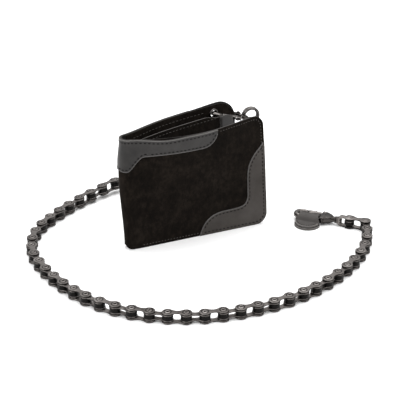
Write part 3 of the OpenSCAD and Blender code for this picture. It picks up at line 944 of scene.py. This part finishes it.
def bush(x):
    e = PLATE_IN + PLATE_T
    return ring_lathe([(BUSH_R, -e), (2.42, -e), (2.42, e), (BUSH_R, e)], 28, origin=(x, 0, 0))


def paint_light_and_shade(mesh, shaded_parts=0):
    """Painted light and shade: faces across the pins take the lit metal, the sides and the dished rivet
    middles the painted-shade metal; the last faces can take the painted shade too.
    """
    last = len(mesh.polygons) - shaded_parts
    for poly in mesh.polygons:
        x, y = poly.center.x / MM, poly.center.y / MM
        dimple = min(hypot(x, y), hypot(x - PITCH, y)) < 0.8
        poly.material_index = int(abs(poly.normal.z) < 0.5 or dimple or poly.index >= last)


def template(name, parts, dark=()):
    """A mesh that many links share; the parts in dark take the painted-shade metal all over."""
    v, f = merged(list(parts) + list(dark))
    o = obj_from(name, v, f, [M_CHAIN, M_CHAIN_SHADE], smooth=True)
    mesh = o.data
    bpy.data.objects.remove(o)
    paint_light_and_shade(mesh, sum(len(faces) for _, faces in dark))
    mesh.set_sharp_from_angle(angle=radians(35))
    return mesh


def shade_ring(x, z):
    """A thin painted-shade ring round a rivet's head, for the shade in the groove there."""
    top = z + copysign(0.04, z)
    return ring_lathe([(2.2, z), (2.75, z), (2.75, top), (2.2, top)], 28, origin=(x, 0, 0))


OUTER = template("outer_link", [plate(PLATE_OUT, CHAIN_HALF, PIN_R - 0.1),
                                plate(-CHAIN_HALF, -PLATE_OUT, PIN_R - 0.1), pin(0), pin(PITCH)],
                 [shade_ring(x, z) for x in (0, PITCH) for z in (CHAIN_HALF, -CHAIN_HALF)])
INNER = template("inner_link", [plate(PLATE_IN, PLATE_IN + PLATE_T, BUSH_R + 0.2),
                                plate(-PLATE_IN - PLATE_T, -PLATE_IN, BUSH_R + 0.2), bush(0), bush(PITCH)])
# the rollers, between the plates, take the painted-shade metal all over
ROLLERS = template("rollers", [], [roller(0), roller(PITCH)])


def instance(name, mesh, m, body):
    o = bpy.data.objects.new(name, mesh)
    scene.collection.objects.link(o)
    place(o, m)
    attach(o, body)
    return o


for k in range(1, 28):
    body = f"link_{k:02d}"
    inner_at = LINKS[54 - 2 * k]
    o = instance(f"inner_link_{k:02d}", INNER, inner_at, body)
    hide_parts(f"chain_link_{k:02d}")
    instance(f"rollers_{k:02d}", ROLLERS, inner_at, body)
    if k < 27:
        instance(f"outer_link_{k:02d}", OUTER, LINKS[53 - 2 * k], body)


# ---- shackles ----
def shackle(name, at, body, node, collar):
    """A strap of steel bent to a U, round at its two ends, with its pin."""
    arm = (PLATE_OUT + CHAIN_HALF) / 2
    bend_x, bend_r = SHACKLE - 4.2, 3.0
    path = [(x, arm) for x in -PLATE_R * np.cos(np.linspace(0, 1.45, 9))]
    path += [(x, arm) for x in np.linspace(0.3, bend_x, 44)]
    path += arc(bend_x, arm - bend_r, bend_r, pi / 2 - np.linspace(0.2, pi / 2, 7))
    path = np.array(path + [(x, -z) for x, z in path[::-1]])
    verts, faces = [], []
    outline = [p for p in plate_outline() if p[1] >= 0]
    for (x, z), (nx, nz) in zip(path, normals(path)):
        if x < PITCH + 3:
            half = max([y for px, y in outline if abs(px - x) < 0.6] or [0.8])
            if x < 0:
                half = sqrt(max(PLATE_R ** 2 - x ** 2, 0.3))
        else:
            half = 2.1
        thick = PLATE_T / 2 + 0.5 * smooth((x - SHACKLE + 5) / 4)
        for y, t in ((-half, -thick), (half, -thick), (half, thick), (-half, thick)):
            verts.append((x + nx * t, y, z + nz * t))
    n = len(path)
    for i in range(n - 1):
        for k in range(4):
            faces.append((4 * i + k, 4 * i + (k + 1) % 4, 4 * i + 4 + (k + 1) % 4, 4 * i + 4 + k))
    faces += [(3, 2, 1, 0), tuple(4 * (n - 1) + k for k in range(4))]
    o = obj_from(name, verts, faces, [M_CHAIN, M_CHAIN_SHADE])
    bevel(o, 0.2, 2, 50)
    # painted shade: the strap's sides take the shaded metal, except near the bend; its pins are painted lit
    # and shaded like the links
    for poly in o.data.polygons:
        poly.material_index = int(abs(poly.normal.z) < 0.5 and poly.center.x < (SHACKLE - 5) * MM)
    place(o, at)
    attach(o, body, node)
    spacer = [(PIN_R, -2.9), (2.7, -2.9), (2.7, 2.9), (PIN_R, 2.9)]
    v, f = merged([pin(0), pin(PITCH), roller(PITCH), ring_lathe(spacer, 28, origin=(PITCH, 0, 0))])
    p = place(obj_from(name + "_pins", v, f, [M_CHAIN, M_CHAIN_SHADE]), at)
    paint_light_and_shade(p.data)
    p.data.set_sharp_from_angle(angle=radians(35))
    attach(p, body)
    if collar:
        profile = [(1.5, -0.5), (2.9, -0.5), (3.1, -0.2), (2.9, 0.2), (1.5, 0.2)]
        v, f = ring_lathe(profile, 32, "x", (SHACKLE, 0, 0))
        q = place(obj_from(name + "_collar", v, f, M_CHAIN), at)
        attach(q, body)


shackle("wallet_shackle_strap", WALLET_END, "wallet_end", "wallet_shackle", False)
shackle("belt_shackle_strap", BELT_SHACKLE, "belt_end", "belt_shackle", True)

# ---- split ring ----
ring_seat = (WALLET_END @ move(SHACKLE - BRIDGE_T - RING_WIRE - RING_GAP))[:3, 3]
ring_dir = np.array([cos(RING_TURN), sin(RING_TURN), 0])
ring_lean = (WALLET_END[:3, 0] @ ring_dir) * ring_dir + np.array([0, 0, WALLET_END[2, 0]])
RING_C = ring_seat + RING_R * ring_lean / np.linalg.norm(ring_lean)
ring_axis = np.array([-sin(RING_TURN), cos(RING_TURN), 0])
path = []
for k in range(145):
    t = k / 144
    a = TAU * (2 * t) + 1.1
    side = -1 + 2 * smooth((t - 0.47) / 0.06)
    path.append(RING_C + RING_R * (cos(a) * ring_dir + sin(a) * np.array([0, 0, 1.0]))
                + ring_axis * side * RING_WIRE * 1.0)
v, f = tube(path, RING_WIRE, 14, round_ends=False)
ring = obj_from("split_ring_wire", v, f, M_RING)
bevel(ring, 0.15, 1, 60)
attach(ring, "ring", "split_ring")

# ---- clasps ----
RING_HOLD = RING_C - RING_R * ring_dir
EYE_DEPTH = 7.4  # the middle of the leaf's thickness at the eyelet
EYE_MID = np.array([FX + EYELET_X * COS - EYE_DEPTH * SIN, FY + EYELET_X * SIN + EYE_DEPTH * COS, EYELET_Z])
run = RING_HOLD - EYE_MID
heading = degrees(atan2(run[1], run[0]))
dip = degrees(atan2(-run[2], hypot(run[0], run[1])))
REACH = float(np.linalg.norm(run))
WALLET_CLASP = move(*EYE_MID) @ rot("Z", heading) @ rot("Y", dip)
BELT_CLASP = BELT_SHACKLE @ move(SHACKLE + 0.4 + BELT_NECK) @ rot("Z", 180)


def finish_part(name, geometry, at, body, material, node=None, width=0.0):
    o = place(obj_from(name, *geometry, material), at)
    if width:
        bevel(o, width, 2, 40)
    o.data.set_sharp_from_angle(angle=radians(40))
    attach(o, body, node)


def clasp(prefix, at, side, crown, wire, body_x, body_len, length, body, gate_body):
    """A snap hook: a bent wire, a rounded body with a ribbed neck, a sprung gate on a rivet."""
    half = crown + wire
    end = body_x + body_len
    long_body = body_len > 5
    sweep = np.linspace(0, pi, 19)
    hook = [(crown + 2.4, -side * crown, 0), (crown + 0.8, -side * crown, 0)]
    hook += [(crown - crown * sin(a), -side * crown * cos(a), 0) for a in sweep]
    hook += [(x, side * crown, 0) for x in np.linspace(crown + 2, body_x + 1.5, 8)]
    radii = [wire * 0.93, wire] + [wire * (1 + 0.12 * sin(a)) for a in sweep] + [wire] * 8
    finish_part(prefix + "_wire", tube(hook, radii, 20), at, body, M_FITTING, prefix + "_hook")
    # the body: two rounded cheeks round the gate's slot, then a solid shoulder
    cheek_in, cheek_out, cheek_len = 1.62, 2.3, 3.4
    shoulder = half * (0.45 if long_body else 0.75)
    cheeks = []
    for z0, z1 in ((-cheek_out, -cheek_in), (cheek_in, cheek_out)):
        cheeks.append(wedge(body_x, body_x + cheek_len, half, half * 0.95, z0, z1))
        if long_body:
            cheeks.append(wedge(body_x + 3.3, end - 0.2, half * 0.95, shoulder, z0, z1))
    finish_part(prefix + "_cheeks", merged(cheeks), at, body, M_BODY, width=0.3)
    y0, y1 = (-0.2, half) if side > 0 else (-half, 0.2)
    core = [block((body_x, y0, -1.7), (body_x + 3.3, y1, 1.7))]
    if long_body:
        core.append(wedge(body_x + cheek_len, end - 0.1, half * 0.9, shoulder * 0.95, -1.7, 1.7))
    finish_part(prefix + "_block", merged(core), at, body, M_BODY, width=0.3)
    neck = [(0, end - 0.8), (shoulder * 0.92, end - 0.8), (shoulder, end - 0.2),
            (max(shoulder * 0.8, 2.5), end + 0.4), (2.4, end + 0.6), (2.2, length - 1.6),
            (2.75, length - 1.2), (2.75, length - 0.5), (2.3, length - 0.1), (1.45, length),
            (1.45, length - 2.0), (0, length - 2.2)]
    finish_part(prefix + "_neck", lathe(neck, 36, "x"), at, body, M_BODY)
    # the gate, its eye and thumb tab
    gx, gy = body_x + 1.8, -side * crown
    tip = crown + 2.4 + wire + 0.35
    bar = [(x, gy, 0) for x in (tip, tip + 2, body_x - 0.6, gx - 0.2)]
    tab = [(body_x - 7.5, gy - side * wire * 0.7, 0), (body_x - 6.3, gy - side * (wire + 0.9), 0),
           (body_x - 4.9, gy - side * wire * 0.7, 0)]
    gate = [tube(bar, [wire * 0.95, wire * 0.98, wire * 0.8, 1.2], 18),
            lathe([(0, -1.3), (1.5, -1.3), (1.5, 1.3), (0, 1.3)], 28, origin=(gx, gy, 0)),
            tube(tab, [0.7, 0.95, 0.7], 12)]
    finish_part(prefix + "_gate", merged(gate), at, gate_body, M_FITTING, prefix + "_gate")
    rivet = [(0, -2.62), (0.9, -2.55), (1.15, -2.32), (0.7, -2.2)]
    rivet += [(r, -z) for r, z in rivet[::-1]]
    finish_part(prefix + "_rivet", lathe(rivet, 24, origin=(gx, gy, 0)), at, body, M_CHAIN,
                prefix + "_rivet")
    # the spring takes the chain's painted-shade metal
    coil = [(gx + 0.98 * cos(a), gy + side * 0.98 * sin(a), 1.36 + 0.04 * a / TAU)
            for a in np.linspace(0, 1.8 * TAU, 40)]
    coil += [(gx + 0.4, gy + side * 2.4, 1.44)]
    finish_part(prefix + "_coil", tube(coil, 0.16, 8), at, body, M_CHAIN_SHADE, prefix + "_spring")


clasp("wallet_clasp", WALLET_CLASP, 1, 3.6, 1.45, 24.6, 3.2, WALLET_NECK, "wallet_clasp", "wallet_gate")
clasp("belt_clasp", BELT_CLASP, -1, BAR_Y, 2.0, 20, 9, BELT_NECK, "belt_clasp", "belt_gate")

# swivels
stem = [(0, WALLET_NECK - 1.6), (1.3, WALLET_NECK - 1.6), (1.3, REACH - 4.9), (1.75, REACH - 4.6),
        (1.75, REACH - 4.0), (1.2, REACH - 3.7), (0, REACH - 3.7)]
loop = [(3.72 + 0.74 * cos(a), 1.25 * sin(a)) for a in np.linspace(0, TAU, 17)[:-1]]
parts = [lathe(stem, 28, "x"), ring_lathe(loop, 44, origin=(REACH - 0.6, 0, 0))]
finish_part("wallet_clasp_swivel_loop", merged(parts), WALLET_CLASP, "wallet_swivel", M_BODY,
            "wallet_clasp_swivel")
head = SHACKLE - BRIDGE_T - 0.15
stem = [(0, head - 1.6), (1.5, head - 1.6), (2.2, head - 1.1), (2.3, head), (1.3, head),
        (1.3, SHACKLE + 3.7), (0, SHACKLE + 3.7)]
finish_part("belt_clasp_swivel_pin", lathe(stem, 28, "x"), BELT_SHACKLE, "belt_clasp", M_FITTING,
            "belt_clasp_swivel")

# ---- leather fob ----
FOB_R, FOB_T, FOB_END, FOB_X = 10.0, 1.5, -14.4, 11.8
FOB_ROUND = FOB_END + FOB_R  # the middle of the round end
FOB_LOW = -CHAIN_Z + 0.1
FOB_TOP = FOB_LOW + 2 * FOB_T + 0.35
FOB_ACROSS = 16


def fob_section():
    """The strap's middle line in the clasp's Y and Z: along the lower layer, round the bar, back on top."""
    low, high = FOB_LOW + FOB_T / 2, FOB_TOP - FOB_T / 2
    line = [(y, low) for y in np.linspace(FOB_END, -3, 12)]
    line += arc(0, 0, 3.05, np.linspace(-1.35, 1.75, 14))
    line += [(-2.2, 2.3), (-3.9, 1.0), (-5.4, high + 0.5)]
    line += [(y, high) for y in np.linspace(-7.2, FOB_END + 0.75, 7)]
    return resample(line, 0.8)


def fob_half(y, upper):
    """Half the strap's width: a round end, and a narrower part round the bar."""
    r = FOB_R - (0.7 if upper else 0)
    if y < FOB_ROUND:
        return sqrt(max(r ** 2 - (y - FOB_ROUND) ** 2, 0.6))
    return r - (2.2 - FOB_R + r) * smooth((y - FOB_ROUND) / 4) - 0.7 * exp(-((y + 2.5) / 1.6) ** 2)


def fob_face(shift):
    """One face of the strap as columns of points, shifted from its middle line."""
    section = fob_section()
    grid = []
    for i, ((y, z), (ny, nz)) in enumerate(zip(section, normals(section))):
        half = fob_half(y, i > 0.55 * len(section))
        across = half * np.cos(np.linspace(0, pi, FOB_ACROSS + 1))
        grid.append([(FOB_X - x, y + ny * shift - BAR_Y, z + nz * shift) for x in across])
    return grid


def fob_arc(r, angles, heights):
    """Points over the round end of the fob."""
    return [(FOB_X + r * cos(a), FOB_ROUND + r * sin(a) - BAR_Y, z)
            for a, z in zip(angles, heights)]


fob = thick_sheet("fob_strap", fob_face(-FOB_T / 2), fob_face(FOB_T / 2), [M_FOB, M_FOB, M_CUT])
place(fob, BELT_CLASP)
bevel(fob, 0.4, 3, 50)
attach(fob, "fob", "leather_fob")
threads = []
for start in np.linspace(pi + 0.25, TAU - 0.25, 12)[:-1]:
    heights = [FOB_TOP + drop for drop in (-0.3, 0.05, 0.05, -0.3)]
    pts = fob_arc(7.9, np.linspace(start, start + 0.19, 4), heights)
    threads.append(tube(pts, [0.16, 0.26, 0.26, 0.16], 6, round_ends=False))
# lighter lines round the fob's two layers: painted highlight on their edges
turn = np.linspace(pi + 0.12, TAU - 0.12, 40)
rims = [tube(fob_arc(FOB_R - 0.85, turn, [FOB_TOP - 0.12] * 40), 0.27, 8),
        tube(fob_arc(FOB_R - 0.15, turn, [FOB_TOP - FOB_T - 0.5] * 40), 0.27, 8)]
for name, parts, material in (("fob_stitches", threads, M_THREAD), ("fob_rims", rims, M_FOB_RIM_HIGHLIGHT)):
    v, f = merged(parts)
    o = place(obj_from(name, v, f, material), BELT_CLASP)
    attach(o, "fob")

# ---- floor, light, camera ----
bpy.ops.mesh.primitive_plane_add(size=12, location=(0, 0, 0))
floor = bpy.context.object
floor.name = "floor"
white = Surface("floor_white")
white.look(Base_Color=(0.93, 0.93, 0.93, 1), Roughness=0.9, Specular_IOR_Level=0.1)
floor.data.materials.append(white.material)

world = bpy.data.worlds.new("studio")
scene.world = world
world.use_nodes = True
sky = Nodes(world.node_tree)
up = sky.node("SeparateXYZ", Vector=sky.node("TexCoord").outputs["Generated"]).outputs["Z"]
level = sky.node("MapRange", Value=up, From_Min=0.05, From_Max=0.75, To_Min=0.22, To_Max=1.55)
level.interpolation_type = "SMOOTHSTEP"
sky.feed(sky.nodes["Background"], Color=(1, 1, 1, 1), Strength=level.outputs["Result"])


def area(name, where, to, size, power):
    light = bpy.data.lights.new(name, "AREA")
    light.shape = "DISK"
    light.size = size
    light.energy = power
    o = bpy.data.objects.new(name, light)
    o.location = where
    o.rotation_euler = (Vector(to) - Vector(where)).to_track_quat("-Z", "Y").to_euler()
    scene.collection.objects.link(o)


area("key", (0.25, 0.35, 1.25), (0.02, 0.02, 0.02), 0.9, 9)
area("side", (-0.9, -0.2, 0.75), (0, 0, 0.05), 0.6, 3)
area("fill", (0.7, -0.9, 0.7), (0.05, 0, 0.04), 0.9, 3)

CAMERA_AT, CAMERA_TO, LENS = (-416.6, -897.4, 499.7), (26.4, 57.1, 0), 130.95
camera = bpy.data.cameras.new("camera")
camera.lens = LENS
camera.sensor_width = 36
camera.clip_end = 50
cam = bpy.data.objects.new("camera", camera)
cam.location = Vector(CAMERA_AT) * MM
cam.rotation_euler = (Vector(CAMERA_TO) * MM - cam.location).to_track_quat("-Z", "Y").to_euler()
scene.collection.objects.link(cam)
bpy.context.scene.camera = cam
scene.view_settings.view_transform = "Standard"
